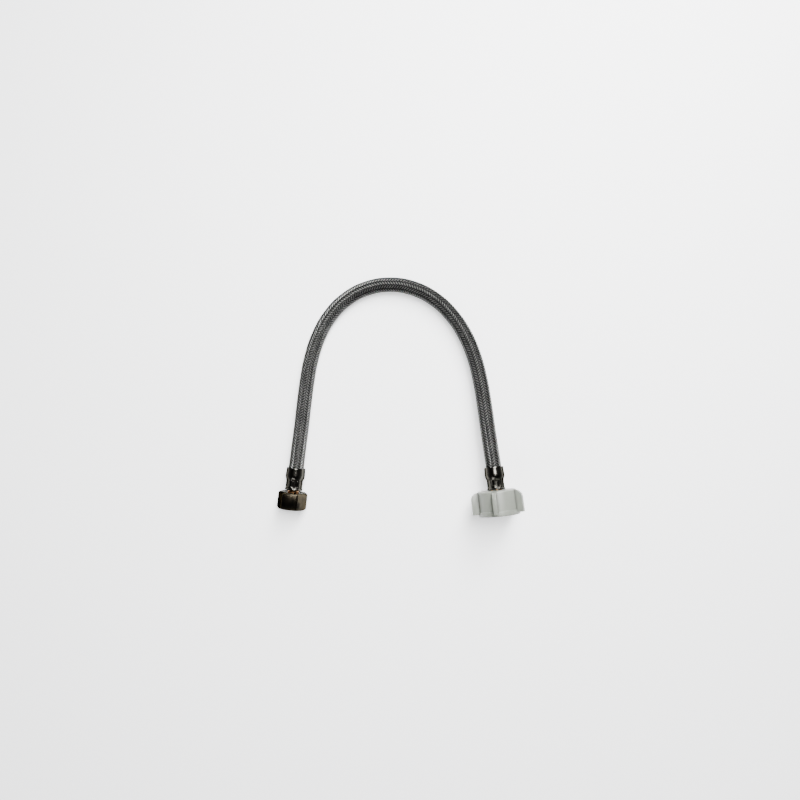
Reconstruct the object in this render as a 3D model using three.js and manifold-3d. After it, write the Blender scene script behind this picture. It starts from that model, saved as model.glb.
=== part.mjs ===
// Braided stainless steel supply line: a rubber hose in a steel braid, crimped at each end onto a
// brass stem. A hex swivel nut (1/2 in pipe thread) is on the inlet end and a plastic wing nut
// (7/8 in ballcock thread) is on the outlet end. The line lies on a table, bent into a horseshoe.
// Millimetres, +Z up, with the table at z = 0 and the nuts at the -Y side.

import * as THREE from 'three';
import { mergeVertices } from 'three/addons/utils/BufferGeometryUtils.js';
import Module from 'manifold-3d';

const wasm = await Module();
wasm.setup();

// ---------------------------------------------------------------- driving dimensions

const PIECE_GAP = 0.3; // between two pieces that touch or run on each other

const HOSE_RADIUS = 7.0;
const BRAID_WALL = 0.9;
const LINER_WALL = 1.5;
const HOSE_SIDES = 10;
const HOSE_STEPS = 56;
const ROUND_SEGMENTS = 28;

// Centre line of the hose, from the end inside the inlet ferrule to the end inside the outlet one.
const ROUTE = [
  [-94.5, 10.7, 12.0],
  [-93.1, 22.6, 12.0],
  [-92.0, 32.8, 11.8],
  [-89.5, 54.9, 10.8],
  [-87.4, 77.0, 9.5],
  [-85.0, 99.1, 8.3],
  [-81.3, 121.0, 7.5],
  [-74.7, 142.2, 7.1],
  [-64.0, 161.6, 7.1],
  [-48.5, 177.4, 7.1],
  [-28.9, 187.6, 7.1],
  [-7.0, 190.9, 7.1],
  [14.8, 187.0, 7.1],
  [34.4, 176.6, 7.2],
  [50.3, 161.1, 7.8],
  [62.2, 142.5, 8.9],
  [70.4, 121.9, 10.6],
  [75.5, 100.4, 12.8],
  [78.8, 78.6, 15.2],
  [81.5, 56.7, 17.4],
  [84.4, 34.7, 19.35],
  [85.8, 24.6, 20.05],
  [87.1, 12.7, 20.95],
];

// The crimped sleeve on each end of the hose.
const FERRULE = {
  length: 20.0,
  braidInsertion: 9.0,
  wall: 0.7,
  bellWall: 1.3,
  bellSwell: 0.2,
  bellSwellShare: 0.6,
  shoulderLength: 2.2,
  waistClearance: 0.5,
  rimFlare: 0.4,
  rimFlareLength: 0.6,
  rimLength: 1.6,
  endWall: 0.8,
  flutes: 6,
  fluteDepth: 0.5,
  fluteShare: 0.78,
  fluteMiddleShare: 0.55,
  segments: 36,
};

// The brass insert in each end: barbs in the liner, a collar in the ferrule, a neck and a head.
const STEM = {
  boreWall: 1.0,
  barbDepth: 0.4,
  barbPitch: 3.4,
  barbs: 4,
  collarThickness: 1.5,
  collarStep: 0.9,
  neckRadius: 5.0,
};

// The nylon ring that the nut turns on.
const RING = {
  sleeveWall: 0.9,
  flangeThickness: 1.0,
};

const INLET = {
  end: 'first',
  gapAtRest: 2.0,
  freePlay: 0.0,
  headClearance: 2.5,
  headThickness: 2.2,
  ringClearance: 1.7,
  nutHeight: 15.4,
  nutWall: 2.4,
  socketRadius: 10.5,
  socketChamfer: 0.5,
  fluteTurn: 13.4,
};

const OUTLET = {
  end: 'last',
  gapAtRest: 0.5,
  freePlay: 2.7,
  headClearance: 2.6,
  headThickness: 2.2,
  ringClearance: 1.6,
  nutHeight: 21.8,
  nutWall: 3.2,
  socketRadius: 11.2,
  socketChamfer: 0.8,
  fluteTurn: 5.9,
};

const HEX = {
  wall: 1.5,
  cornerBeyondFlat: 1.4,
  faceInsideFlat: 0.3,
  chamferHeight: 1.1,
};

const WING_NUT = {
  wall: 6.3,
  topRounding: 1.6,
  lipStep: 0.8,
  lipHeight: 4.4,
  lipChamfer: 0.5,
  bodySegments: 40,
  wings: 5,
  wingReach: 6.0,
  wingThickness: 3.2,
  wingCornerRadius: 6.7,
  wingTop: 0.6,
  wingEndAboveLip: 2.0,
  wingRoot: 2.0,
  turn: -14.0,
};

const FLAT_WASHER = { holeRadius: 4.7, clearance: 1.3, thickness: 2.6 };

const CONE_WASHER = {
  holeRadius: 5.0,
  clearance: 1.0,
  baseHeight: 1.6,
  taper: 2.6,
  height: 7.0,
};

// ---------------------------------------------------------------- fits

const braidBore = HOSE_RADIUS - BRAID_WALL;
const linerRadius = braidBore - PIECE_GAP;
const linerBore = linerRadius - LINER_WALL;
const ferruleBore = HOSE_RADIUS + PIECE_GAP;
const barbRadius = linerBore - PIECE_GAP;
const stemBore = barbRadius - STEM.barbDepth - STEM.boreWall;
const collarRadius = STEM.neckRadius + STEM.collarStep;
const bellRadius = ferruleBore + FERRULE.bellWall;
const waistBore = Math.max(linerRadius, collarRadius) + FERRULE.waistClearance;
const waistRadius = waistBore + FERRULE.wall + FERRULE.fluteDepth;
const ringBore = STEM.neckRadius + PIECE_GAP;
const ringSleeveRadius = ringBore + RING.sleeveWall;
const nutHoleRadius = ringSleeveRadius + PIECE_GAP;
const hexFlat = INLET.socketRadius + HEX.wall;
const wingNutBody = OUTLET.socketRadius + WING_NUT.wall;
const headRadius = (spec) => spec.socketRadius - spec.headClearance;

// Where each piece of an end begins and stops, along its axis from the end of the braid.
function stationsOf(spec) {
  const at = {};
  at.ferruleMouth = -FERRULE.braidInsertion;
  at.ferruleEnd = at.ferruleMouth + FERRULE.length;
  at.collarEnd = at.ferruleEnd - FERRULE.endWall - PIECE_GAP;
  at.collarStart = at.collarEnd - STEM.collarThickness;
  at.linerEnd = at.collarStart - PIECE_GAP;
  at.barbTip = at.linerEnd - STEM.barbs * STEM.barbPitch;
  at.nutFace = at.ferruleEnd + spec.gapAtRest;
  at.nutShoulder = at.nutFace + spec.nutWall;
  at.nutEnd = at.nutFace + spec.nutHeight;
  at.ringFlange = at.nutShoulder + PIECE_GAP;
  at.ringEnd = at.ringFlange + RING.flangeThickness;
  at.head = at.ringEnd + PIECE_GAP + spec.freePlay;
  at.headEnd = at.head + spec.headThickness;
  at.washer = at.headEnd + PIECE_GAP;
  return at;
}

// ---------------------------------------------------------------- shapes

// Shared vertices merged and only the position kept.
function welded(geometry) {
  const copy = geometry.clone();
  copy.deleteAttribute('normal');
  copy.deleteAttribute('uv');
  return mergeVertices(copy, 1e-4);
}

function volumeOf(geometry) {
  const p = geometry.getAttribute('position');
  const index = geometry.getIndex();
  const corner = [new THREE.Vector3(), new THREE.Vector3(), new THREE.Vector3()];
  let volume = 0;
  for (let i = 0; i < index.count; i += 3) {
    corner.forEach((v, k) => v.fromBufferAttribute(p, index.getX(i + k)));
    volume += corner[0].dot(corner[1].clone().cross(corner[2])) / 6;
  }
  return volume;
}

// The same closed surface, with its faces pointing out.
function outward(geometry) {
  const solid = welded(geometry);
  if (volumeOf(solid) < 0) {
    const index = solid.getIndex();
    for (let i = 0; i < index.count; i += 3) {
      const second = index.getX(i + 1);
      index.setX(i + 1, index.getX(i + 2));
      index.setX(i + 2, second);
    }
  }
  return solid;
}

// A [radius, z] outline turned round the Z axis. A ring's outline closes on itself.
function turned(outline, segments = ROUND_SEGMENTS) {
  const points = outline.map(([radius, z]) => new THREE.Vector2(radius, z));
  const spun = new THREE.LatheGeometry(points, segments);
  spun.rotateX(Math.PI / 2);
  return outward(spun);
}

function turnedRing(outline, segments = ROUND_SEGMENTS) {
  return turned([...outline, outline[0]], segments);
}

function toManifold(geometry) {
  const solid = outward(geometry);
  const vertProperties = new Float32Array(solid.getAttribute('position').array);
  const triVerts = new Uint32Array(solid.getIndex().array);
  return new wasm.Manifold(new wasm.Mesh({ numProp: 3, vertProperties, triVerts }));
}

function fromManifold(solid) {
  const mesh = solid.getMesh();
  const geometry = new THREE.BufferGeometry();
  geometry.setAttribute('position', new THREE.BufferAttribute(mesh.vertProperties, 3));
  geometry.setIndex(new THREE.BufferAttribute(mesh.triVerts, 1));
  return geometry;
}

// ---------------------------------------------------------------- hose

const routePoints = ROUTE.map((point) => new THREE.Vector3(...point));

// The point where the braid ends at one end of the line, and the way its fittings point.
function hoseEnd(which) {
  const order = which === 'first' ? routePoints : [...routePoints].reverse();
  return { point: order[0], direction: order[0].clone().sub(order[1]).normalize() };
}

function polygon(target, radius) {
  for (let i = 0; i < HOSE_SIDES; i += 1) {
    const angle = (2 * Math.PI * i) / HOSE_SIDES;
    const x = radius * Math.cos(angle);
    const y = radius * Math.sin(angle);
    if (i === 0) target.moveTo(x, y);
    else target.lineTo(x, y);
  }
  target.closePath();
  return target;
}

// A tube along the route that reaches past both ends of the braid. The bore is clear to its radius.
function hoseTube(outerRadius, boreRadius, reach) {
  const points = routePoints.map((point) => point.clone());
  for (const which of ['first', 'last']) {
    const { point, direction } = hoseEnd(which);
    points[which === 'first' ? 0 : points.length - 1] = point.clone().addScaledVector(direction, reach);
  }
  const section = polygon(new THREE.Shape(), outerRadius);
  section.holes.push(polygon(new THREE.Path(), boreRadius / Math.cos(Math.PI / HOSE_SIDES)));
  const extrudePath = new THREE.CatmullRomCurve3(points, false, 'centripetal');
  const tube = new THREE.ExtrudeGeometry(section, { steps: HOSE_STEPS, extrudePath, bevelEnabled: false });
  return outward(tube);
}

// ---------------------------------------------------------------- fittings, along their own Z axis

function ferrule(spec) {
  const at = stationsOf(spec);
  const mouth = at.ferruleMouth;
  const end = at.ferruleEnd;
  const shoulder = PIECE_GAP;
  const waist = shoulder + FERRULE.shoulderLength;
  const rim = end - FERRULE.rimLength;
  const rimRadius = waistRadius + FERRULE.rimFlare;
  const middle = waist + (rim - waist) * FERRULE.fluteMiddleShare;
  const neckHole = STEM.neckRadius + PIECE_GAP;
  const blank = turnedRing(
    [
      [ferruleBore, mouth],
      [bellRadius, mouth],
      [bellRadius + FERRULE.bellSwell, mouth + FERRULE.braidInsertion * FERRULE.bellSwellShare],
      [bellRadius, shoulder],
      [waistRadius, waist],
      [waistRadius, middle],
      [waistRadius, rim],
      [rimRadius, rim + FERRULE.rimFlareLength],
      [rimRadius, end],
      [neckHole, end],
      [neckHole, end - FERRULE.endWall],
      [waistBore, end - FERRULE.endWall],
      [waistBore, waist],
      [ferruleBore, shoulder],
    ],
    FERRULE.segments,
  );
  const outsideOnly = (waistBore + waistRadius) / 2;
  const p = blank.getAttribute('position');
  for (let i = 0; i < p.count; i += 1) {
    const radius = Math.hypot(p.getX(i), p.getY(i));
    if (radius < outsideOnly || Math.abs(p.getZ(i) - middle) > 0.01) continue;
    const angle = Math.atan2(p.getX(i), p.getY(i)) - THREE.MathUtils.degToRad(spec.fluteTurn);
    const lobe = Math.cos(FERRULE.flutes * angle) > Math.cos(Math.PI * FERRULE.fluteShare) ? 1 : 0;
    const scale = (radius - FERRULE.fluteDepth * lobe) / radius;
    p.setXY(i, p.getX(i) * scale, p.getY(i) * scale);
  }
  return blank;
}

function stem(spec) {
  const at = stationsOf(spec);
  const outline = [[stemBore, at.barbTip]];
  for (let i = 0; i < STEM.barbs; i += 1) {
    const start = at.barbTip + i * STEM.barbPitch;
    outline.push([barbRadius - STEM.barbDepth, start]);
    outline.push([barbRadius, start + STEM.barbPitch]);
  }
  outline.push(
    [barbRadius, at.collarStart],
    [collarRadius, at.collarStart],
    [collarRadius, at.collarEnd],
    [STEM.neckRadius, at.collarEnd],
    [STEM.neckRadius, at.head],
    [headRadius(spec), at.head],
    [headRadius(spec), at.headEnd],
    [stemBore, at.headEnd],
  );
  return turnedRing(outline);
}

function slipRing(spec) {
  const at = stationsOf(spec);
  const flangeRadius = spec.socketRadius - spec.ringClearance;
  return turnedRing([
    [ringBore, at.nutFace + PIECE_GAP],
    [ringSleeveRadius, at.nutFace + PIECE_GAP],
    [ringSleeveRadius, at.ringFlange],
    [flangeRadius, at.ringFlange],
    [flangeRadius, at.ringEnd],
    [ringBore, at.ringEnd],
  ]);
}

// What is bored out of a nut: the hole for the ring, the socket for the thread and its mouth.
function nutCutter(spec) {
  const at = stationsOf(spec);
  const past = 1.0;
  return toManifold(
    turned([
      [0, at.nutFace - past],
      [nutHoleRadius, at.nutFace - past],
      [nutHoleRadius, at.nutShoulder],
      [spec.socketRadius, at.nutShoulder],
      [spec.socketRadius, at.nutEnd - spec.socketChamfer],
      [spec.socketRadius + spec.socketChamfer, at.nutEnd],
      [spec.socketRadius + spec.socketChamfer, at.nutEnd + past],
      [0, at.nutEnd + past],
    ]),
  );
}

function hexNut(spec) {
  const at = stationsOf(spec);
  const cornerRadius = hexFlat / Math.cos(Math.PI / 6);
  const turnedRadius = hexFlat + HEX.cornerBeyondFlat;
  const faceRadius = hexFlat - HEX.faceInsideFlat;
  const prism = turned(
    [
      [0, at.nutFace],
      [cornerRadius, at.nutFace],
      [cornerRadius, at.nutEnd],
      [0, at.nutEnd],
    ],
    6,
  );
  prism.rotateZ(Math.PI / 6);
  const turnedBlank = turned([
    [0, at.nutFace],
    [faceRadius, at.nutFace],
    [turnedRadius, at.nutFace + HEX.chamferHeight],
    [turnedRadius, at.nutEnd - HEX.chamferHeight],
    [faceRadius, at.nutEnd],
    [0, at.nutEnd],
  ]);
  const blank = toManifold(prism).intersect(toManifold(turnedBlank));
  return fromManifold(blank.subtract(nutCutter(spec)));
}

function wing(spec, azimuth) {
  const at = stationsOf(spec);
  const top = at.nutFace + WING_NUT.wingTop;
  const bottom = at.nutEnd - WING_NUT.wingEndAboveLip;
  const tip = wingNutBody + WING_NUT.wingReach;
  const root = wingNutBody - WING_NUT.wingRoot;
  const corner = Math.min(WING_NUT.wingCornerRadius, WING_NUT.wingReach + WING_NUT.wingRoot / 2);
  const outline = new THREE.Shape();
  outline.moveTo(root, top);
  outline.lineTo(tip - corner, top);
  outline.absarc(tip - corner, top + corner, corner, -Math.PI / 2, 0, false);
  outline.lineTo(tip, bottom);
  outline.lineTo(root, bottom);
  const depth = WING_NUT.wingThickness;
  const plate = new THREE.ExtrudeGeometry(outline, { depth, bevelEnabled: false, curveSegments: 5 });
  plate.translate(0, 0, -depth / 2);
  plate.rotateX(Math.PI / 2);
  plate.rotateZ(Math.PI / 2 - azimuth);
  return toManifold(plate);
}

function wingNut(spec) {
  const at = stationsOf(spec);
  const lipTop = at.nutEnd - WING_NUT.lipHeight;
  const lipRadius = wingNutBody + WING_NUT.lipStep;
  const chamfer = WING_NUT.lipChamfer;
  const rounding = WING_NUT.topRounding;
  const halfway = rounding * (1 - Math.SQRT1_2);
  const outline = [
    [0, at.nutFace],
    [wingNutBody - rounding, at.nutFace],
    [wingNutBody - halfway, at.nutFace + halfway],
    [wingNutBody, at.nutFace + rounding],
    [wingNutBody, lipTop],
    [lipRadius, lipTop + chamfer],
    [lipRadius, at.nutEnd - chamfer],
    [lipRadius - chamfer, at.nutEnd],
    [0, at.nutEnd],
  ];
  let nut = toManifold(turned(outline, WING_NUT.bodySegments));
  for (let i = 0; i < WING_NUT.wings; i += 1) {
    const azimuth = (2 * Math.PI * i) / WING_NUT.wings + THREE.MathUtils.degToRad(WING_NUT.turn);
    nut = nut.add(wing(spec, azimuth));
  }
  return fromManifold(nut.subtract(nutCutter(spec)));
}

function flatWasher(spec) {
  const start = stationsOf(spec).washer;
  const end = start + FLAT_WASHER.thickness;
  const radius = spec.socketRadius - FLAT_WASHER.clearance;
  return turnedRing([
    [FLAT_WASHER.holeRadius, start],
    [radius, start],
    [radius, end],
    [FLAT_WASHER.holeRadius, end],
  ]);
}

function coneWasher(spec) {
  const start = stationsOf(spec).washer;
  const baseRadius = spec.socketRadius - CONE_WASHER.clearance;
  return turnedRing([
    [CONE_WASHER.holeRadius, start],
    [baseRadius, start],
    [baseRadius, start + CONE_WASHER.baseHeight],
    [baseRadius - CONE_WASHER.taper, start + CONE_WASHER.height],
    [CONE_WASHER.holeRadius, start + CONE_WASHER.height],
  ]);
}

// ---------------------------------------------------------------- materials

const finish = (color, roughness, metalness) =>
  new THREE.MeshStandardMaterial({ color, roughness, metalness });

const steelBraid = () => finish(0x55585a, 0.35, 1.0);
const linerRubber = () => finish(0x1c1c1d, 0.7, 0.0);
const stainless = () => finish(0x4a4845, 0.2, 1.0);
const brass = () => finish(0xb5854b, 0.3, 1.0);
const nylon = () => finish(0xdcd8cb, 0.45, 0.0);
const darkPlate = () => finish(0x3a3430, 0.15, 1.0);
const wingPlastic = () => finish(0xb9beb2, 0.35, 0.0);
const sealRubber = () => finish(0x242424, 0.75, 0.0);

// ---------------------------------------------------------------- assembly

function piece(name, geometry, material) {
  const mesh = new THREE.Mesh(geometry, material);
  mesh.name = name;
  return mesh;
}

// A group whose Z axis runs out of the hose's end, with its Y axis towards the top.
function endGroup(spec) {
  const { point, direction } = hoseEnd(spec.end);
  const across = new THREE.Vector3().crossVectors(new THREE.Vector3(0, 0, 1), direction).normalize();
  const upward = new THREE.Vector3().crossVectors(direction, across);
  const end = new THREE.Group();
  end.quaternion.setFromRotationMatrix(new THREE.Matrix4().makeBasis(across, upward, direction));
  end.position.copy(point);
  return end;
}

const group = new THREE.Group();

const linerReach = stationsOf(INLET).linerEnd;
group.add(piece('braid_sleeve', hoseTube(HOSE_RADIUS, braidBore, 0), steelBraid()));
group.add(piece('liner_tube', hoseTube(linerRadius, linerBore, linerReach), linerRubber()));

const inletEnd = endGroup(INLET);
inletEnd.add(piece('inlet_ferrule', ferrule(INLET), stainless()));
inletEnd.add(piece('inlet_stem', stem(INLET), brass()));
inletEnd.add(piece('inlet_slip_ring', slipRing(INLET), nylon()));
inletEnd.add(piece('inlet_hex_nut', hexNut(INLET), darkPlate()));
inletEnd.add(piece('inlet_flat_washer', flatWasher(INLET), sealRubber()));
group.add(inletEnd);

const outletEnd = endGroup(OUTLET);
outletEnd.add(piece('outlet_ferrule', ferrule(OUTLET), stainless()));
outletEnd.add(piece('outlet_stem', stem(OUTLET), brass()));
outletEnd.add(piece('outlet_slip_ring', slipRing(OUTLET), nylon()));
outletEnd.add(piece('outlet_wing_nut', wingNut(OUTLET), wingPlastic()));
outletEnd.add(piece('outlet_cone_washer', coneWasher(OUTLET), sealRubber()));
group.add(outletEnd);

export default group;
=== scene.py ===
"""A braided steel supply line: woven hose, crimped sleeves, a hex swivel nut and a plastic wing nut.

Sizes are in metres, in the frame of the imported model: +Z up from the table the line lies on.
"""

import math

import bmesh
import bpy
from bpy.props import FloatProperty, FloatVectorProperty, IntProperty, PointerProperty
from mathutils import Matrix, Vector


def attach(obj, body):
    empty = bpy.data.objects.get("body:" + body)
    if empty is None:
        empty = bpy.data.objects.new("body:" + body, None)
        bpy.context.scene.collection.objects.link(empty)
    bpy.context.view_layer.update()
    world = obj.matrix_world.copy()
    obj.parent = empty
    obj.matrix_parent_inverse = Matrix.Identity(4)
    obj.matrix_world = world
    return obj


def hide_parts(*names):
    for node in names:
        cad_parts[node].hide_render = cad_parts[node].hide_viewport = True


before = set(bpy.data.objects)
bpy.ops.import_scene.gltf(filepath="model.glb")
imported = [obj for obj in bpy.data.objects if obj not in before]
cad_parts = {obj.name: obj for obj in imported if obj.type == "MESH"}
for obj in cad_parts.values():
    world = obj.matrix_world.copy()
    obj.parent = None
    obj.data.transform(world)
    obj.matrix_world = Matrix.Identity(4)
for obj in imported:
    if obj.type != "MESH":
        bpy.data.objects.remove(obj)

bl_info = {
    "name": "Braided supply line",
    "version": (1, 0, 0),
    "blender": (4, 5, 0),
    "location": "View3D > Sidebar > Supply line",
    "description": "Builds a braided supply line round its packed frame",
    "category": "Add Mesh",
}

MM = 0.001

# Centre line of the hose, from the end inside the inlet sleeve to the end inside the outlet one.
ROUTE = [
    (-0.0945, 0.0107, 0.0120),
    (-0.0931, 0.0226, 0.0120),
    (-0.0920, 0.0328, 0.0118),
    (-0.0895, 0.0549, 0.0108),
    (-0.0874, 0.0770, 0.0095),
    (-0.0850, 0.0991, 0.0083),
    (-0.0813, 0.1210, 0.0075),
    (-0.0747, 0.1422, 0.0071),
    (-0.0640, 0.1616, 0.0071),
    (-0.0485, 0.1774, 0.0071),
    (-0.0289, 0.1876, 0.0071),
    (-0.0070, 0.1909, 0.0071),
    (0.0148, 0.1870, 0.0071),
    (0.0344, 0.1766, 0.0072),
    (0.0503, 0.1611, 0.0078),
    (0.0622, 0.1425, 0.0089),
    (0.0704, 0.1219, 0.0106),
    (0.0755, 0.1004, 0.0128),
    (0.0788, 0.0786, 0.0152),
    (0.0815, 0.0567, 0.0174),
    (0.0844, 0.0347, 0.01935),
    (0.0858, 0.0246, 0.02005),
    (0.0871, 0.0127, 0.02095),
]

HOSE_BODY = "hose_assembly"
SHARP_ANGLE = math.radians(32)
RIM_ANGLE = math.radians(55)
# How far the wings stop short of the plastic nut's open end.
WING_STOP = 2.0 * MM
# Points closer than this are one point, and a point this near a station lies on it.
TOUCH = 0.002 * MM
NEAR = 0.05 * MM


# ---------------------------------------------------------------- sizes and colours


def length(name, description, default):
    size = {"min": 0.0, "unit": "LENGTH", "precision": 5}
    return FloatProperty(name=name, description=description, default=default, **size)


def angle(name, description, degrees):
    return FloatProperty(name=name, description=description, default=math.radians(degrees), subtype="ANGLE")


def colour(name, description, default):
    return FloatVectorProperty(name=name, description=description, default=default, subtype="COLOR", size=3)


class HoseSettings(bpy.types.PropertyGroup):
    radius: length("Radius", "Outside radius of the braided hose", 7.0 * MM)
    liner_radius: length("Liner radius", "Outside radius of the rubber liner", 5.95 * MM)
    wire: length("Wire", "Diameter of one wire of the braid", 0.25 * MM)
    lift: length("Lift", "How far a strand rises and dips as it crosses the others", 0.26 * MM)
    arch: length("Arch", "How much higher a strand's middle is than its sides", 0.16 * MM)
    pitch: length("Pitch", "Distance along the hose from one strand to the next", 2.5 * MM)
    strands: IntProperty(name="Strands", description="Strands each way round", default=12, min=6)
    wires: IntProperty(name="Wires", description="Wires side by side in a strand", default=5, min=2)
    steel: colour("Steel", "Colour of the wires", (0.125, 0.126, 0.122))
    rubber: colour("Rubber", "Colour of the liner", (0.012, 0.012, 0.013))


class SleeveSettings(bpy.types.PropertyGroup):
    flutes: IntProperty(name="Flutes", description="Crimped flutes round a sleeve", default=6, min=3)
    flute_depth: length("Flute depth", "Depth of a crimped flute", 0.75 * MM)
    edge: length("Edge", "Rounding of the sleeve's edges", 0.16 * MM)
    inlet_turn: angle("Inlet turn", "Turn of the inlet sleeve's flutes", 13.4)
    outlet_turn: angle("Outlet turn", "Turn of the outlet sleeve's flutes", 5.9)
    steel: colour("Steel", "Colour of the crimped sleeves", (0.055, 0.053, 0.047))


class NutSettings(bpy.types.PropertyGroup):
    hex_edge: length("Hex edge", "Rounding of the hex nut's edges", 0.22 * MM)
    wing_edge: length("Wing edge", "Rounding of the wing nut's edges", 0.45 * MM)
    wings: IntProperty(name="Wings", description="Wings of the plastic nut", default=5, min=2)
    wing_turn: angle("Wing turn", "Turn of the plastic nut's first wing", -14.0)
    wing_tip: length("Wing tip", "Radius at the wings' tips", 23.5 * MM)
    wing_body: length("Wing body", "Radius of the plastic nut's body", 17.5 * MM)
    wing_thickness: length("Wing thickness", "Thickness of a wing", 3.2 * MM)
    shade: length("Shade", "How far the shade reaches from the wings' corners", 1.8 * MM)
    inlet_thread: length("Inlet thread", "Thread pitch of the hex nut", 1.814 * MM)
    outlet_thread: length("Outlet thread", "Thread pitch of the wing nut", 1.814 * MM)
    plate: colour("Plate", "Colour of the hex nut's dark plating", (0.022, 0.02, 0.016))
    plate_brown: colour("Brown plate", "Colour where the plating turns brown", (0.06, 0.05, 0.034))
    plastic: colour("Plastic", "Colour of the wing nut", (0.15, 0.16, 0.138))


class InsideSettings(bpy.types.PropertyGroup):
    edge: length("Edge", "Rounding of the turned and moulded pieces", 0.15 * MM)
    brass: colour("Brass", "Colour of the stems", (0.38, 0.2, 0.095))
    nylon: colour("Nylon", "Colour of the slip rings", (0.78, 0.76, 0.70))
    rubber: colour("Rubber", "Colour of the washers", (0.016, 0.016, 0.017))


class StageSettings(bpy.types.PropertyGroup):
    floor_size: length("Floor size", "Side of the pale floor", 8.0)
    floor: colour("Floor", "Colour of the floor", (0.9, 0.905, 0.915))
    glow: FloatProperty(name="Glow", description="How much the floor glows of itself", default=1.1)
    key: FloatProperty(name="Key", description="Watts of the soft box beyond the bend", default=58.0)
    front: FloatProperty(name="Front", description="Watts of the soft box in front", default=12.0)
    lens: FloatProperty(name="Lens", description="Focal length in millimetres", default=24.9)


# ---------------------------------------------------------------- the ends of the line


class End:
    """One end of the line: its Z axis runs out of the hose, and stations are measured along it."""

    def __init__(self, name, nut, body, points):
        self.name = name
        self.nut = nut
        self.body = body
        self.point = Vector(points[0])
        self.direction = (self.point - Vector(points[1])).normalized()
        across = Vector((0, 0, 1)).cross(self.direction).normalized()
        upward = self.direction.cross(across)
        turn = Matrix((across, upward, self.direction)).transposed().to_4x4()
        self.matrix = Matrix.Translation(self.point) @ turn
        self.inverse = self.matrix.inverted()

    def local(self, node):
        """The corners of a CAD node, in this end's own frame."""
        return [self.inverse @ v.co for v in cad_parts[f"{self.name}_{node}"].data.vertices]

    def span(self, node):
        """The first and last station of a CAD node."""
        stations = [v.z for v in self.local(node)]
        return min(stations), max(stations)

    def radii(self, node, station=None):
        """The smallest and largest radius of a CAD node, over all of it or at one station."""
        near = [v for v in self.local(node) if station is None or abs(v.z - station) < NEAR]
        radii = [math.hypot(v.x, v.y) for v in near]
        return min(radii), max(radii)


INLET = End("inlet", "hex_nut", "inlet_nut", ROUTE)
OUTLET = End("outlet", "wing_nut", "outlet_nut", ROUTE[::-1])


# ---------------------------------------------------------------- shader expressions


class Value:
    """A shader socket that takes arithmetic: an expression on it adds Math nodes."""

    def __init__(self, finish, socket):
        self.finish = finish
        self.socket = socket

    def __add__(self, other):
        return self.finish.maths("ADD", self, other)

    __radd__ = __add__

    def __sub__(self, other):
        return self.finish.maths("SUBTRACT", self, other)

    def __rsub__(self, other):
        return self.finish.maths("SUBTRACT", other, self)

    def __mul__(self, other):
        return self.finish.maths("MULTIPLY", self, other)

    __rmul__ = __mul__


class Finish:
    """A procedural material with one Principled shader."""

    def __init__(self, name, **constants):
        self.material = bpy.data.materials.new(name)
        self.material.use_nodes = True
        self.tree = self.material.node_tree
        self.shader = self.tree.nodes["Principled BSDF"]
        self.set(**constants)

    def node(self, kind, settings, inputs, output=0):
        """Any node: its settings are set first, then the values or links of its sockets."""
        made = self.tree.nodes.new(kind)
        for name, value in settings.items():
            if name == "stops":
                self.stops(made.color_ramp, value)
            else:
                setattr(made, name, value)
        for socket, value in inputs.items():
            self.feed(made.inputs[socket], value)
        return Value(self, made.outputs[output])

    def stops(self, ramp, stops):
        while len(ramp.elements) < len(stops):
            ramp.elements.new(1.0)
        for element, (position, shade) in zip(ramp.elements, stops):
            element.position = position
            element.color = (shade, shade, shade, 1.0)

    def feed(self, socket, value):
        if isinstance(value, Value):
            self.tree.links.new(value.socket, socket)
        else:
            socket.default_value = value

    def set(self, **inputs):
        for name, value in inputs.items():
            self.feed(self.shader.inputs[name.replace("_", " ")], value)

    def place(self, scale=(1, 1, 1), turn=(0, 0, 0)):
        """Object coordinates in metres, turned and scaled."""
        where = self.node("ShaderNodeTexCoord", {}, {}, "Object")
        return self.node("ShaderNodeMapping", {}, {"Vector": where, "Rotation": turn, "Scale": scale})

    def noise(self, where, scale, detail=3.0, roughness=0.5):
        sockets = {"Vector": where, "Scale": scale, "Detail": detail, "Roughness": roughness}
        return self.node("ShaderNodeTexNoise", {}, sockets, "Fac")

    def ramp(self, value, stops):
        return self.node("ShaderNodeValToRGB", {"stops": stops}, {"Fac": value})

    def maths(self, operation, first, second=0.0):
        return self.node("ShaderNodeMath", {"operation": operation}, {0: first, 1: second})

    def ramp_mix(self, tone, shade):
        """A shade that darkens as the tone falls below 0 and lightens a little above it."""
        low = self.node("ShaderNodeMapRange", {}, {0: tone, 1: -3.0, 2: 1.0})
        return self.mix(low, darker(shade, 0.2), darker(shade, 1.2))

    def mix(self, mask, first, second):
        settings = {"data_type": "RGBA", "clamp_factor": True}
        return self.node("ShaderNodeMix", settings, {0: mask, 6: (*first, 1.0), 7: (*second, 1.0)}, 2)

    def bump(self, height, strength, distance):
        sockets = {"Height": height, "Strength": strength, "Distance": distance}
        self.set(Normal=self.node("ShaderNodeBump", {}, sockets))


def darker(shade, share):
    return tuple(channel * share for channel in shade)


# ---------------------------------------------------------------- finishes


def braid_finish(hose):
    """Satin steel wire, with painted shade where a strand runs low and painted light on its crests."""
    finish = Finish("braid_wire", Metallic=1.0, Specular_Tint=(0.0, 0.0, 0.0, 1.0))
    height = finish.node("ShaderNodeAttribute", {"attribute_name": "height"}, {}, "Fac")
    cloud = finish.noise(finish.place(), 90.0)
    # Painted shade and light: dark where a strand sinks, light on its crests, with a little random cloud.
    mask = height * 0.9 + cloud * 0.2 - 0.1
    painted_recess_shade = darker(hose.steel, 0.1)
    # Painted light: the colour where a strand rides high, lighter than the steel itself.
    crest = darker(hose.steel, 2.4)
    finish.set(Base_Color=finish.mix(mask, painted_recess_shade, crest))
    finish.set(Roughness=cloud * 0.1 + 0.3)
    return finish.material


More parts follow.
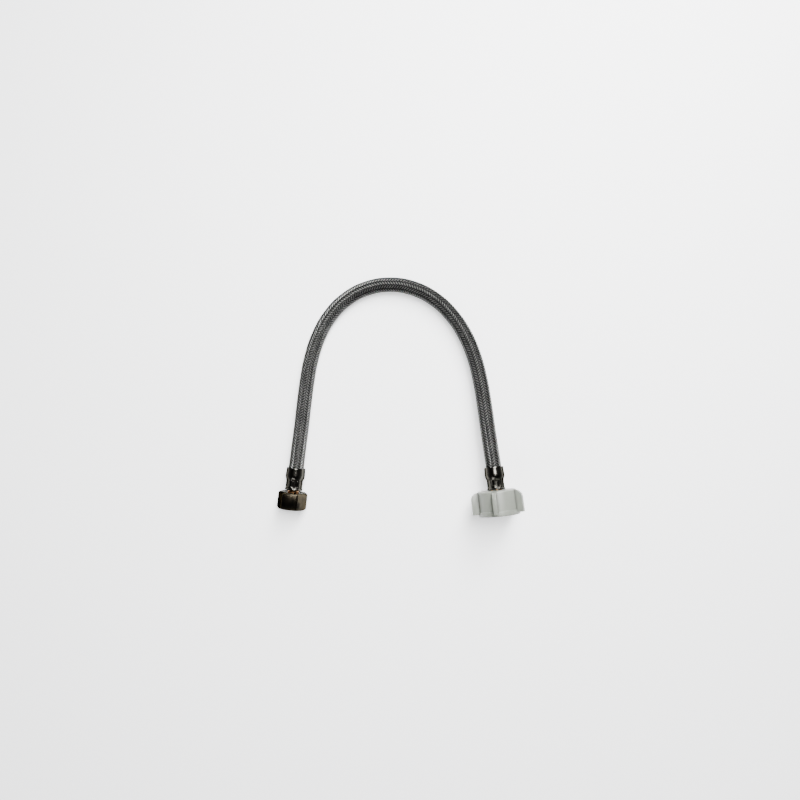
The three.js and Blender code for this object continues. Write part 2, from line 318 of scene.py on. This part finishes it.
def rubber_finish(name, shade):
    finish = Finish(name, Metallic=0.0)
    grain = finish.noise(finish.place(), 1400.0, 4.0)
    dust = finish.noise(finish.place(), 160.0)
    finish.set(Base_Color=finish.mix(dust * 0.8, shade, darker(shade, 2.4)))
    finish.set(Roughness=dust * 0.25 + 0.5)
    finish.bump(grain, 0.25, 0.05 * MM)
    return finish.material


def sleeve_finish(name, end, shade):
    """Crimped stainless: drawing marks along the sleeve and soft tool marks across it."""
    finish = Finish(name, Metallic=1.0, Specular_Tint=(0.0, 0.0, 0.0, 1.0))
    turn = end.matrix.to_3x3().inverted().to_euler()
    marks = finish.noise(finish.place((1, 1, 0.07), turn), 2600.0, 2.0)
    cloud = finish.noise(finish.place(), 240.0)
    finish.set(Base_Color=finish.mix(cloud * 0.5 + marks * 0.5, darker(shade, 0.55), darker(shade, 1.6)))
    finish.set(Roughness=marks * 0.14 + 0.11)
    finish.bump(marks, 0.12, 0.04 * MM)
    return finish.material


def plate_finish(nut):
    """Dark plating with brown clouds."""
    finish = Finish("dark_plate", Metallic=1.0, Specular_Tint=(0.15, 0.15, 0.13, 1.0))
    cloud = finish.noise(finish.place(), 130.0, 4.0)
    grain = finish.noise(finish.place(), 2200.0, 2.0)
    tone = finish.ramp(cloud, [(0.38, 0.0), (0.66, 1.0)])
    finish.set(Base_Color=finish.mix(tone, nut.plate, nut.plate_brown))
    finish.set(Roughness=grain * 0.12 + cloud * 0.1 + 0.1)
    finish.bump(grain, 0.1, 0.03 * MM)
    return finish.material


def brass_finish(inside):
    finish = Finish("turned_brass", Metallic=1.0)
    cloud = finish.noise(finish.place(), 420.0)
    finish.set(Base_Color=finish.mix(cloud, darker(inside.brass, 0.7), darker(inside.brass, 1.2)))
    finish.set(Roughness=cloud * 0.2 + 0.14)
    return finish.material


def corner_shade(finish, end, nut):
    """Painted shade: how near a point is to the corner between a wing and the body, where the plastic is
    darkened.
    """
    turn = end.matrix.to_3x3().inverted()
    sockets = {"Location": -(turn @ end.point), "Rotation": turn.to_euler()}
    where = finish.node("ShaderNodeTexCoord", {}, {}, "Object")
    own = finish.node("ShaderNodeMapping", {}, {"Vector": where, **sockets})
    parts = finish.node("ShaderNodeSeparateXYZ", {}, {"Vector": own})
    x, y = parts, Value(finish, parts.socket.node.outputs["Y"])
    radius = finish.maths("SQRT", x * x + y * y)
    around = finish.maths("ARCTAN2", x, y) - nut.wing_turn
    beside = finish.maths("PINGPONG", around, math.pi / nut.wings)
    gap = radius * finish.maths("SINE", beside) - nut.wing_thickness / 2
    away = finish.maths("ABSOLUTE", radius - nut.wing_body)
    near_wing = finish.maths("SMOOTH_MAX", 1.0 - gap * (1 / nut.shade), 0.0)
    near_body = finish.maths("SMOOTH_MAX", 1.0 - away * (1 / nut.shade), 0.0)
    station = Value(finish, parts.socket.node.outputs["Z"])
    foot = end.span(end.nut)[1] - WING_STOP
    blur = 0.6 * MM
    above = finish.node("ShaderNodeMapRange", {}, {0: station, 1: foot + blur, 2: foot - blur})
    return near_wing * near_body * above


def plastic_finish(name, shade, scatter, corners=None):
    """Moulded plastic that lets a little light in, with faint flow marks. Where corners are given, painted
    shade darkens the plastic near them.
    """
    finish = Finish(name, Metallic=0.0, Subsurface_Weight=scatter, Subsurface_Scale=1.5 * MM)
    finish.shader.inputs["Subsurface Radius"].default_value = (1.0, 1.0, 0.9)
    cloud = finish.noise(finish.place(), 55.0, 3.0)
    grain = finish.noise(finish.place(), 1500.0, 2.0)
    painted_shade_depth = 2.1
    # Painted shade: the tone falls near the given corners.
    tone = cloud - corners(finish) * painted_shade_depth if corners else cloud
    finish.set(Base_Color=finish.ramp_mix(tone, shade))
    finish.set(Roughness=grain * 0.12 + cloud * 0.08 + 0.28)
    finish.bump(grain, 0.08, 0.05 * MM)
    return finish.material


# ---------------------------------------------------------------- shapes


def smooth_step(value):
    """From 0 to 1, level at both ends."""
    clamped = min(1.0, max(0.0, value))
    return clamped * clamped * (3 - 2 * clamped)


def rounded_corner(outer, top, radius, steps):
    """The points of a quarter round between a top edge and an outer edge."""
    turns = [math.pi / 2 * k / steps for k in range(steps + 1)]
    return [(outer - radius + radius * math.sin(a), top + radius - radius * math.cos(a)) for a in turns]


def close(bm):
    """Doubles merged and faces turned outwards."""
    bmesh.ops.remove_doubles(bm, verts=bm.verts, dist=TOUCH)
    bmesh.ops.recalc_face_normals(bm, faces=bm.faces)
    return bm


def turned(outline, segments):
    """A closed outline of (radius, station) points spun round the Z axis."""
    bm = bmesh.new()
    corners = [bm.verts.new((radius, 0, station)) for radius, station in outline]
    edges = [bm.edges.new(pair) for pair in zip(corners, corners[1:] + corners[:1])]
    whole = {"cent": (0, 0, 0), "axis": (0, 0, 1), "angle": 2 * math.pi, "use_merge": True}
    bmesh.ops.spin(bm, geom=corners + edges, steps=segments, **whole)
    return close(bm)


def rounded(bm, edges, width, segments=2):
    shape = {"affect": "EDGES", "profile": 0.5, "material": -1, "clamp_overlap": True}
    bmesh.ops.bevel(bm, geom=edges, offset=width, segments=segments, **shape)
    return bm


def soften(bm, width, segments=2):
    """Every sharp outer edge bevelled. The inner corners stay sharp."""
    sharp = [e for e in bm.edges if len(e.link_faces) == 2 and e.calc_face_angle_signed() > SHARP_ANGLE]
    return rounded(bm, sharp, width, segments)


def as_object(name, bm):
    mesh = bpy.data.meshes.new(name)
    bm.to_mesh(mesh)
    bm.free()
    piece = bpy.data.objects.new(name, mesh)
    bpy.context.scene.collection.objects.link(piece)
    return piece


def baked(piece):
    """The piece's mesh with its modifiers applied, as a bmesh. The piece itself is removed."""
    bpy.context.view_layer.update()
    seen = piece.evaluated_get(bpy.context.evaluated_depsgraph_get())
    mesh = bpy.data.meshes.new_from_object(seen)
    bm = bmesh.new()
    bm.from_mesh(mesh)
    old = piece.data
    bpy.data.objects.remove(piece)
    bpy.data.meshes.remove(old)
    bpy.data.meshes.remove(mesh)
    return bm


def combined(first, second, operation):
    """Two closed shapes joined, cut or intersected."""
    body = as_object("body", first)
    tool = as_object("tool", second)
    cut = body.modifiers.new("cut", "BOOLEAN")
    cut.operation = operation
    cut.solver = "EXACT"
    cut.object = tool
    result = baked(body)
    mesh = tool.data
    bpy.data.objects.remove(tool)
    bpy.data.meshes.remove(mesh)
    return close(result)


def finished(name, bm, material, body, nodes=(), end=None):
    """A piece in its place, smooth between its sharp edges, that rides on a body."""
    if end:
        bm.transform(end.matrix)
    piece = as_object(name, bm)
    piece.data.materials.append(material)
    piece.data.shade_smooth()
    piece.data.set_sharp_from_angle(angle=SHARP_ANGLE)
    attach(piece, body)
    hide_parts(*nodes)
    return piece


# ---------------------------------------------------------------- hose


def liner_curve(hose, material):
    """The rubber liner: a curve along the route, which the braid follows too."""
    line = bpy.data.curves.new("hose_liner", "CURVE")
    line.dimensions = "3D"
    line.twist_mode = "MINIMUM"
    line.bevel_depth = hose.liner_radius
    line.bevel_resolution = 8
    line.resolution_u = 10
    line.use_fill_caps = True
    spline = line.splines.new("BEZIER")
    spline.bezier_points.add(len(ROUTE) - 1)
    for point, place in zip(spline.bezier_points, ROUTE):
        point.co = place
        point.handle_left_type = point.handle_right_type = "AUTO"
    piece = bpy.data.objects.new("hose_liner", line)
    line.materials.append(material)
    bpy.context.scene.collection.objects.link(piece)
    return piece


def strand_outline(hose):
    """Where the points of a strand's section are: (along the hose, out from its middle)."""
    lead = hose.pitch * hose.strands
    slant = math.atan2(2 * math.pi * hose.radius, lead)
    spacing = hose.wire / math.sin(slant)
    half = spacing * hose.wires / 2
    crest = hose.wire / 2
    points = [(-half, -0.6 * crest)]
    for k in range(hose.wires):
        top = -half + spacing * (k + 0.5)
        dip = -half + spacing * (k + 1)
        points.append((top, crest + arched(hose, top / half)))
        points.append((dip, 0.1 * crest + arched(hose, dip / half)))
    points[-1] = (half, -0.6 * crest)
    return points + [(0.8 * half, -crest), (-0.8 * half, -crest)]


def arched(hose, across):
    """How high a strand's section stands at a share of its half width."""
    return hose.arch * (1 - across * across)


def strand(bm, hose, start, hand, steps=4):
    """One strand's run across a cell: its section is spun round the hose and moved along it."""
    middle = hose.radius - hose.wire / 2 - hose.lift - hose.arch
    turn = Matrix.Rotation(start, 3, "X")
    section = [bm.verts.new(turn @ Vector((x, 0, middle + out))) for x, out in strand_outline(hose)]
    edges = [bm.edges.new(pair) for pair in zip(section, section[1:] + section[:1])]
    sweep = hand * 2 * math.pi / hose.strands
    step = Vector((hose.pitch / steps, 0, 0))
    way = {"cent": (0, 0, 0), "axis": (1, 0, 0), "dvec": step, "angle": sweep}
    bmesh.ops.spin(bm, geom=section + edges, steps=steps, **way)


def braid_cell(hose):
    """One pitch of the braid, where every strand moves on to its neighbour's place."""
    bm = bmesh.new()
    bm.verts.layers.float.new("height")
    share = 2 * math.pi / hose.strands
    for hand, offset in ((1, 0.5), (-1, 0.0)):
        first = len(bm.verts)
        for i in range(hose.strands):
            strand(bm, hose, share * (i + offset), hand)
        bm.verts.ensure_lookup_table()
        for vert in bm.verts[first:]:
            lift_point(bm, vert, hose, hand)
    bmesh.ops.recalc_face_normals(bm, faces=bm.faces)
    return bm


def lift_point(bm, vert, hose, hand):
    """Strands of one hand ride high where those of the other run low. Each point keeps its height, which the
    wire finish turns into painted shade and light.
    """
    around = math.atan2(vert.co.y, vert.co.z)
    wave = math.cos(hose.strands / 2 * around)
    radius = math.hypot(vert.co.y, vert.co.z)
    scale = (radius + hand * hose.lift * math.sin(math.pi / 2 * wave)) / radius
    vert.co.y *= scale
    vert.co.z *= scale
    sunk = hose.radius - radius * scale
    deepest = 1.6 * hose.lift
    vert[bm.verts.layers.float["height"]] = 1 - smooth_step(sunk / deepest)


def braid_piece(hose, name, first, cells, guide, material):
    """A run of cells bent along the liner, with its open ends closed."""
    cell = as_object(name, braid_cell(hose))
    for vert in cell.data.vertices:
        vert.co.x += first * hose.pitch
    row = cell.modifiers.new("row", "ARRAY")
    row.use_relative_offset = False
    row.use_constant_offset = True
    row.constant_offset_displace = (hose.pitch, 0, 0)
    row.count = cells
    row.use_merge_vertices = True
    row.merge_threshold = TOUCH
    bend = cell.modifiers.new("bend", "CURVE")
    bend.object = guide
    bend.deform_axis = "POS_X"
    bm = baked(cell)
    ends = [e for e in bm.edges if e.is_boundary]
    bmesh.ops.holes_fill(bm, edges=ends, sides=0)
    return finished(name, bm, material, HOSE_BODY, ("braid_sleeve",))


# ---------------------------------------------------------------- crimped sleeves


def sleeve_outline(end):
    """The sleeve's section: mouth, bell, waist and flared rim outside, a plain bore inside."""
    mouth, last = end.span("ferrule")
    bell = end.radii("ferrule")[1]
    rim = end.radii("ferrule", last)[1]
    neck = end.radii("ferrule", last)[0]
    bore = end.radii("ferrule", mouth)[0]
    waist = rim - 0.4 * MM
    shoulder = mouth + 9.3 * MM
    outside = [
        (bell - 0.35 * MM, mouth),
        (bell - 0.35 * MM, mouth + 1.2 * MM),
        (bell - 0.3 * MM, mouth + 2.6 * MM),
        (bell - 0.16 * MM, mouth + 4.2 * MM),
        (bell - 0.04 * MM, mouth + 6.0 * MM),
        (bell, mouth + 7.2 * MM),
        (bell - 0.12 * MM, mouth + 8.4 * MM),
        (bell - 0.42 * MM, shoulder + 0.2 * MM),
        (bell - 0.85 * MM, shoulder + 1.2 * MM),
        (waist, shoulder + 2.4 * MM),
    ]
    rings = 16
    start = outside[-1][1]
    run = last - 1.6 * MM - start
    outside += [(waist, start + run * k / rings) for k in range(1, rings + 1)]
    outside += [(rim, last - 1.0 * MM), (rim, last)]
    lip = last - 0.8 * MM
    hollow = waist - 1.2 * MM
    inside = [(neck, last), (neck, lip), (hollow, lip), (hollow, start), (bore, shoulder), (bore, mouth)]
    return outside + inside


def press_flutes(bm, end, sleeve, turn):
    """Flutes are pressed into the outside of the waist, each with a round lower end."""
    mouth, last = end.span("ferrule")
    share = 2 * math.pi / sleeve.flutes
    half_width = 0.34 * share
    top = mouth + 10.2 * MM
    foot = last - 2.0 * MM
    outside = end.radii("ferrule", last)[1] - 0.9 * MM
    for vert in bm.verts:
        radius = math.hypot(vert.co.x, vert.co.y)
        if radius < outside:
            continue
        around = math.atan2(vert.co.x, vert.co.y) - turn
        off = abs((around + share / 2) % share - share / 2)
        across = smooth_step((half_width - off) / (0.3 * half_width) + 0.5)
        round_foot = foot - 1.5 * MM * (off / half_width) ** 2
        down = smooth_step((round_foot - vert.co.z) / (0.5 * MM) + 0.5)
        begin = smooth_step((vert.co.z - top) / (1.8 * MM))
        press = sleeve.flute_depth * across * down * begin
        scale = (radius - press) / radius
        vert.co.x *= scale
        vert.co.y *= scale


def crimped_sleeve(end, sleeve, turn):
    bm = turned(sleeve_outline(end), segments=144)
    press_flutes(bm, end, sleeve, turn)
    rims = [e for e in bm.edges if e.calc_face_angle(0.0) > RIM_ANGLE]
    rounded(bm, rims, sleeve.edge)
    material = sleeve_finish(f"{end.name}_sleeve_steel", end, sleeve.steel)
    name = f"{end.name}_crimped_sleeve"
    return finished(name, bm, material, HOSE_BODY, (f"{end.name}_ferrule",), end)


# ---------------------------------------------------------------- nuts


def bore_tool(end, shoulder, hole, socket, flare):
    """What is cut out of a nut: the hole that the ring runs in, the socket and its flared mouth."""
    first, last = end.span(end.nut)
    past = 2 * MM
    return turned(
        [
            (0, first - past),
            (hole, first - past),
            (hole, shoulder),
            (socket, shoulder),
            (socket, last - flare),
            (socket + flare + past, last + past),
            (0, last + past),
        ],
        96,
    )


def socket_sizes(end):
    """Shoulder station, hole radius and socket radius, read from the CAD nut."""
    first, last = end.span(end.nut)
    hole = end.radii(end.nut)[0]
    inner = [v for v in end.local(end.nut) if first + MM < v.z < last - MM]
    shoulder = min(v.z for v in inner if math.hypot(v.x, v.y) < hole + 0.1 * MM)
    at_shoulder = [math.hypot(v.x, v.y) for v in inner if abs(v.z - shoulder) < NEAR]
    return shoulder, hole, max(at_shoulder)


def thread_ridge(socket, depth, pitch, start, stop):
    """A helical ridge on the socket's wall, sunk a little into it, that fades in at both ends."""
    segments = 48
    turns = (stop - start) / pitch
    sunk = 0.25 * MM
    bm = bmesh.new()
    section = [(socket + sunk, -0.44), (socket - depth, -0.07), (socket - depth, 0.07), (socket + sunk, 0.44)]
    corners = [bm.verts.new((radius, 0, start + share * pitch)) for radius, share in section]
    edges = [bm.edges.new(pair) for pair in zip(corners, corners[1:] + corners[:1])]
    steps = round(segments * turns)
    way = {"cent": (0, 0, 0), "axis": (0, 0, 1), "dvec": (0, 0, (stop - start) / steps)}
    bmesh.ops.spin(bm, geom=corners + edges, steps=steps, angle=2 * math.pi * turns, **way)
    fade = 0.6 * pitch
    for vert in bm.verts:
        radius = math.hypot(vert.co.x, vert.co.y)
        near = min(vert.co.z - start, stop - vert.co.z)
        share = smooth_step((near + 0.1 * pitch) / fade)
        if radius < socket:
            flat = socket + sunk * 0.4
            scale = (flat - (flat - radius) * share) / radius
            vert.co.x *= scale
            vert.co.y *= scale
    bmesh.ops.holes_fill(bm, edges=[e for e in bm.edges if e.is_boundary], sides=0)
    return close(bm)


def add_shell(bm, other):
    """A second closed shell added to the same piece."""
    mesh = bpy.data.meshes.new("shell")
    other.to_mesh(mesh)
    other.free()
    bm.from_mesh(mesh)
    bpy.data.meshes.remove(mesh)
    return bm


def hex_blank(end):
    """A hex prism whose corners are turned off at both ends."""
    first, last = end.span(end.nut)
    flat = max(abs(v.y) for v in end.local(end.nut))
    corner = end.radii(end.nut)[1]
    half_side = math.pi / 6
    prism = bmesh.new()
    made = bmesh.ops.create_circle(prism, cap_ends=True, segments=6, radius=flat / math.cos(half_side))
    bmesh.ops.rotate(prism, verts=made["verts"], matrix=Matrix.Rotation(half_side, 3, "Z"))
    bmesh.ops.translate(prism, verts=made["verts"], vec=(0, 0, first))
    risen = bmesh.ops.extrude_face_region(prism, geom=prism.faces[:])["geom"]
    top = [g for g in risen if isinstance(g, bmesh.types.BMVert)]
    bmesh.ops.translate(prism, verts=top, vec=(0, 0, last - first))
    chamfer = 1.1 * MM
    face = flat - 0.3 * MM
    outline = [(0, first), (face, first), (corner, first + chamfer)]
    outline += [(corner, last - chamfer), (face, last), (0, last)]
    return combined(close(prism), turned(outline, segments=96), "INTERSECT")


def hex_nut(end, nut):
    shoulder, hole, socket = socket_sizes(end)
    bm = combined(hex_blank(end), bore_tool(end, shoulder, hole, socket, 0.5 * MM), "DIFFERENCE")
    soften(bm, nut.hex_edge)
    last = end.span(end.nut)[1]
    start = end.span("flat_washer")[1] - 0.2 * MM
    add_shell(bm, thread_ridge(socket, 0.95 * MM, nut.inlet_thread, start, last - 0.8 * MM))
    return finished("hex_swivel_nut", bm, plate_finish(nut), end.body, ("inlet_hex_nut",), end)


def wing_blade(end, nut, around):
    """One wing: a plate whose upper outer corner is rounded off."""
    first, last = end.span(end.nut)
    top = first + 0.6 * MM
    bottom = last - WING_STOP
    corner = 6.7 * MM
    root = nut.wing_body - 2.0 * MM
    thick = nut.wing_thickness
    bm = bmesh.new()
    outline = [(root, top), *rounded_corner(nut.wing_tip, top, corner, steps=10)]
    outline += [(nut.wing_tip, bottom), (root, bottom)]
    side = bm.faces.new([bm.verts.new((radius, -thick / 2, station)) for radius, station in outline])
    risen = bmesh.ops.extrude_face_region(bm, geom=[side])["geom"]
    moved = [g for g in risen if isinstance(g, bmesh.types.BMVert)]
    bmesh.ops.translate(bm, verts=moved, vec=(0, thick, 0))
    bmesh.ops.rotate(bm, verts=bm.verts, matrix=Matrix.Rotation(math.pi / 2 - around, 3, "Z"))
    return close(bm)


def wing_nut(end, nut):
    first, last = end.span(end.nut)
    shoulder, hole, socket = socket_sizes(end)
    body = nut.wing_body
    lip = body + 0.8 * MM
    rounding = 1.6 * MM
    outline = [(0, first), *rounded_corner(body, first, rounding, steps=5)]
    lip_top = last - 4.4 * MM
    slope = 0.5 * MM
    outline += [(body, lip_top), (lip, lip_top + slope), (lip, last - slope), (lip - slope, last), (0, last)]
    bm = turned(outline, segments=120)
    for k in range(nut.wings):
        around = 2 * math.pi * k / nut.wings + nut.wing_turn
        bm = combined(bm, wing_blade(end, nut, around), "UNION")
    bm = combined(bm, bore_tool(end, shoulder, hole, socket, 0.8 * MM), "DIFFERENCE")
    soften(bm, nut.wing_edge, segments=3)
    start = end.span("cone_washer")[0] + 2.6 * MM
    add_shell(bm, thread_ridge(socket, 1.0 * MM, nut.outlet_thread, start, last - 1.2 * MM))

    # Painted shade for the corners between the wings and the body.
    def shade(finish):
        return corner_shade(finish, end, nut)

    material = plastic_finish("wing_plastic", nut.plastic, 0.25, shade)
    return finished("plastic_wing_nut", bm, material, end.body, ("outlet_wing_nut",), end)


# ---------------------------------------------------------------- inside the ends


def smooth_copy(end, node, segments, outline, material, body, inside):
    """A turned piece with round edges, in the place of its CAD node."""
    bm = soften(turned(outline, segments), inside.edge)
    return finished(f"{end.name}_turned_{node}", bm, material, body, (f"{end.name}_{node}",), end)


def stem_piece(end, inside, material):
    tip, last = end.span("stem")
    bore = end.radii("stem", last)[0]
    head = end.radii("stem", last)[1]
    barbs = 4
    pitch = 3.4 * MM
    root = 3.6 * MM
    crest = 4.0 * MM
    collar = 5.9 * MM
    neck = 5.0 * MM
    outline = [(bore, tip)]
    for k in range(barbs):
        outline += [(root, tip + pitch * k), (crest, tip + pitch * (k + 1) - 0.4 * MM)]
    liner_end = tip + barbs * pitch + 0.3 * MM
    collar_end = liner_end + 1.5 * MM
    start = last - 2.2 * MM
    outline += [(crest, liner_end), (collar, liner_end), (collar, collar_end), (neck, collar_end)]
    outline += [(neck, start), (head, start), (head, last), (bore, last)]
    return smooth_copy(end, "stem", 72, outline, material, HOSE_BODY, inside)


def ring_piece(end, inside, material):
    first, last = end.span("slip_ring")
    bore = end.radii("slip_ring")[0]
    flange = end.radii("slip_ring")[1]
    step = last - 1.0 * MM
    tube = bore + 0.9 * MM
    outline = [(bore, first), (tube, first), (tube, step), (flange, step), (flange, last), (bore, last)]
    return smooth_copy(end, "slip_ring", 72, outline, material, f"{end.name}_ring", inside)


def flat_washer_piece(inside, material):
    first, last = INLET.span("flat_washer")
    hole, rim = INLET.radii("flat_washer")
    outline = [(hole, first), (rim, first), (rim, last), (hole, last)]
    return smooth_copy(INLET, "flat_washer", 96, outline, material, HOSE_BODY, inside)


def cone_washer_piece(inside, material):
    first, last = OUTLET.span("cone_washer")
    hole, rim = OUTLET.radii("cone_washer")
    outline = [(hole, first), (rim, first), (rim, first + 1.6 * MM), (rim - 2.6 * MM, last), (hole, last)]
    return smooth_copy(OUTLET, "cone_washer", 96, outline, material, HOSE_BODY, inside)


# ---------------------------------------------------------------- stage


def soft_box(name, place, width, height, power, aim=(0, 0.08, 0)):
    """A lamp of this width and height that looks at the middle of the line."""
    data = bpy.data.lights.new(name, "AREA")
    data.shape = "RECTANGLE"
    data.size = width
    data.size_y = height
    data.energy = power
    lamp = bpy.data.objects.new(name, data)
    lamp.location = place
    lamp.rotation_euler = (Vector(aim) - Vector(place)).to_track_quat("-Z", "Y").to_euler()
    bpy.context.scene.collection.objects.link(lamp)
    return lamp


def studio_world():
    """Pale near the horizon and dim overhead, so that the steel has something dark to mirror."""
    world = bpy.data.worlds.new("studio")
    world.use_nodes = True
    tree = world.node_tree
    where = tree.nodes.new("ShaderNodeTexCoord")
    split = tree.nodes.new("ShaderNodeSeparateXYZ")
    ramp = tree.nodes.new("ShaderNodeValToRGB")
    for position, shade in ((0.0, 1.3), (0.08, 0.8), (0.25, 0.22), (0.6, 0.08), (0.76, 0.02)):
        stop = ramp.color_ramp.elements.new(position)
        stop.color = (shade, shade, shade * 1.02, 1)
    ramp.color_ramp.elements.remove(ramp.color_ramp.elements[0])
    ramp.color_ramp.elements.remove(ramp.color_ramp.elements[-1])
    tree.links.new(where.outputs["Generated"], split.inputs[0])
    tree.links.new(split.outputs["Z"], ramp.inputs["Fac"])
    tree.links.new(ramp.outputs["Color"], tree.nodes["Background"].inputs["Color"])
    bpy.context.scene.world = world


def camera(stage):
    data = bpy.data.cameras.new("camera")
    data.lens = stage.lens
    data.sensor_width = 36.0
    eye = bpy.data.objects.new("camera", data)
    eye.location = (0.0225, 0.0558, 0.52)
    aim = Vector((0.0017, 0.0828, 0))
    sight = aim - eye.location
    right = sight.cross(Vector((0, 1, 0))).normalized()
    upward = right.cross(sight).normalized()
    eye.rotation_euler = Matrix((right, upward, -sight.normalized())).transposed().to_euler()
    bpy.context.scene.collection.objects.link(eye)
    bpy.context.scene.camera = eye


# ---------------------------------------------------------------- operators


class SUPPLYLINE_OT_stage(bpy.types.Operator):
    """Make the camera, the pale floor and the studio light"""

    bl_idname = "supply_line.stage"
    bl_label = "Stage"

    def execute(self, context):
        stage = context.scene.supply_line_stage
        camera(stage)
        studio_world()
        bm = bmesh.new()
        bmesh.ops.create_grid(bm, x_segments=1, y_segments=1, size=stage.floor_size / 2)
        floor = as_object("floor", bm)
        shade = (*stage.floor, 1.0)
        finish = Finish("pale_floor", Roughness=0.85, Base_Color=shade, Emission_Color=shade)
        finish.set(Emission_Strength=stage.glow)
        floor.data.materials.append(finish.material)
        soft_box("key", (0.25, 0.62, 0.86), 0.42, 1.1, stage.key)
        soft_box("front", (-0.5, -1.3, 1.5), 1.0, 0.5, stage.front)
        return {"FINISHED"}


class SUPPLYLINE_OT_hose(bpy.types.Operator):
    """Make the rubber liner and the woven wire braid along the route"""

    bl_idname = "supply_line.hose"
    bl_label = "Hose"

    def execute(self, context):
        hose = context.scene.supply_line_hose
        liner = liner_curve(hose, rubber_finish("liner_rubber", hose.rubber))
        bpy.context.view_layer.update()
        whole = liner.data.splines[0].calc_length()
        cells = round(whole / hose.pitch)
        hose.pitch = whole / cells
        material = braid_finish(hose)
        parts = 3
        marks = [round(cells * k / parts) for k in range(parts + 1)]
        braids = [
            braid_piece(hose, f"wire_braid_{k + 1}", marks[k], marks[k + 1] - marks[k], liner, material)
            for k in range(parts)
        ]
        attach(liner, HOSE_BODY)
        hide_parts("liner_tube")
        return {"FINISHED"}


class SUPPLYLINE_OT_sleeves(bpy.types.Operator):
    """Make the crimped steel sleeve on each end of the hose"""

    bl_idname = "supply_line.sleeves"
    bl_label = "Crimped sleeves"

    def execute(self, context):
        sleeve = context.scene.supply_line_sleeve
        crimped_sleeve(INLET, sleeve, sleeve.inlet_turn)
        crimped_sleeve(OUTLET, sleeve, sleeve.outlet_turn)
        return {"FINISHED"}


class SUPPLYLINE_OT_nuts(bpy.types.Operator):
    """Make the hex swivel nut and the plastic wing nut, with their threads"""

    bl_idname = "supply_line.nuts"
    bl_label = "Nuts"

    def execute(self, context):
        nut = context.scene.supply_line_nut
        hex_nut(INLET, nut)
        wing_nut(OUTLET, nut)
        return {"FINISHED"}


class SUPPLYLINE_OT_inside(bpy.types.Operator):
    """Make the stems, slip rings and washers"""

    bl_idname = "supply_line.inside"
    bl_label = "Stems, rings and washers"

    def execute(self, context):
        inside = context.scene.supply_line_inside
        brass = brass_finish(inside)
        nylon = plastic_finish("ring_nylon", inside.nylon, 0.15)
        seal = rubber_finish("seal_rubber", inside.rubber)
        for end in (INLET, OUTLET):
            stem_piece(end, inside, brass)
            ring_piece(end, inside, nylon)
        flat_washer_piece(inside, seal)
        cone_washer_piece(inside, seal)
        return {"FINISHED"}


SETTINGS = {
    "supply_line_stage": StageSettings,
    "supply_line_hose": HoseSettings,
    "supply_line_sleeve": SleeveSettings,
    "supply_line_nut": NutSettings,
    "supply_line_inside": InsideSettings,
}

OPERATORS = (
    SUPPLYLINE_OT_stage,
    SUPPLYLINE_OT_hose,
    SUPPLYLINE_OT_sleeves,
    SUPPLYLINE_OT_nuts,
    SUPPLYLINE_OT_inside,
)


class SUPPLYLINE_PT_panel(bpy.types.Panel):
    """The supply line's pieces, with their sizes and colours"""

    bl_idname = "SUPPLYLINE_PT_panel"
    bl_label = "Supply line"
    bl_space_type = "VIEW_3D"
    bl_region_type = "UI"
    bl_category = "Supply line"

    def draw(self, context):
        for (name, group), operator in zip(SETTINGS.items(), OPERATORS):
            box = self.layout.box()
            box.operator(operator.bl_idname)
            for key in group.__annotations__:
                box.prop(getattr(context.scene, name), key)


def register():
    for name, group in SETTINGS.items():
        bpy.utils.register_class(group)
        setattr(bpy.types.Scene, name, PointerProperty(type=group))
    for operator in OPERATORS:
        bpy.utils.register_class(operator)
    bpy.utils.register_class(SUPPLYLINE_PT_panel)


def unregister():
    bpy.utils.unregister_class(SUPPLYLINE_PT_panel)
    for operator in reversed(OPERATORS):
        bpy.utils.unregister_class(operator)
    for name, group in SETTINGS.items():
        delattr(bpy.types.Scene, name)
        bpy.utils.unregister_class(group)


def main():
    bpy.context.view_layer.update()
    register()
    bpy.ops.supply_line.stage()
    bpy.ops.supply_line.hose()
    bpy.ops.supply_line.sleeves()
    bpy.ops.supply_line.nuts()
    bpy.ops.supply_line.inside()


if __name__ == "__main__":
    main()
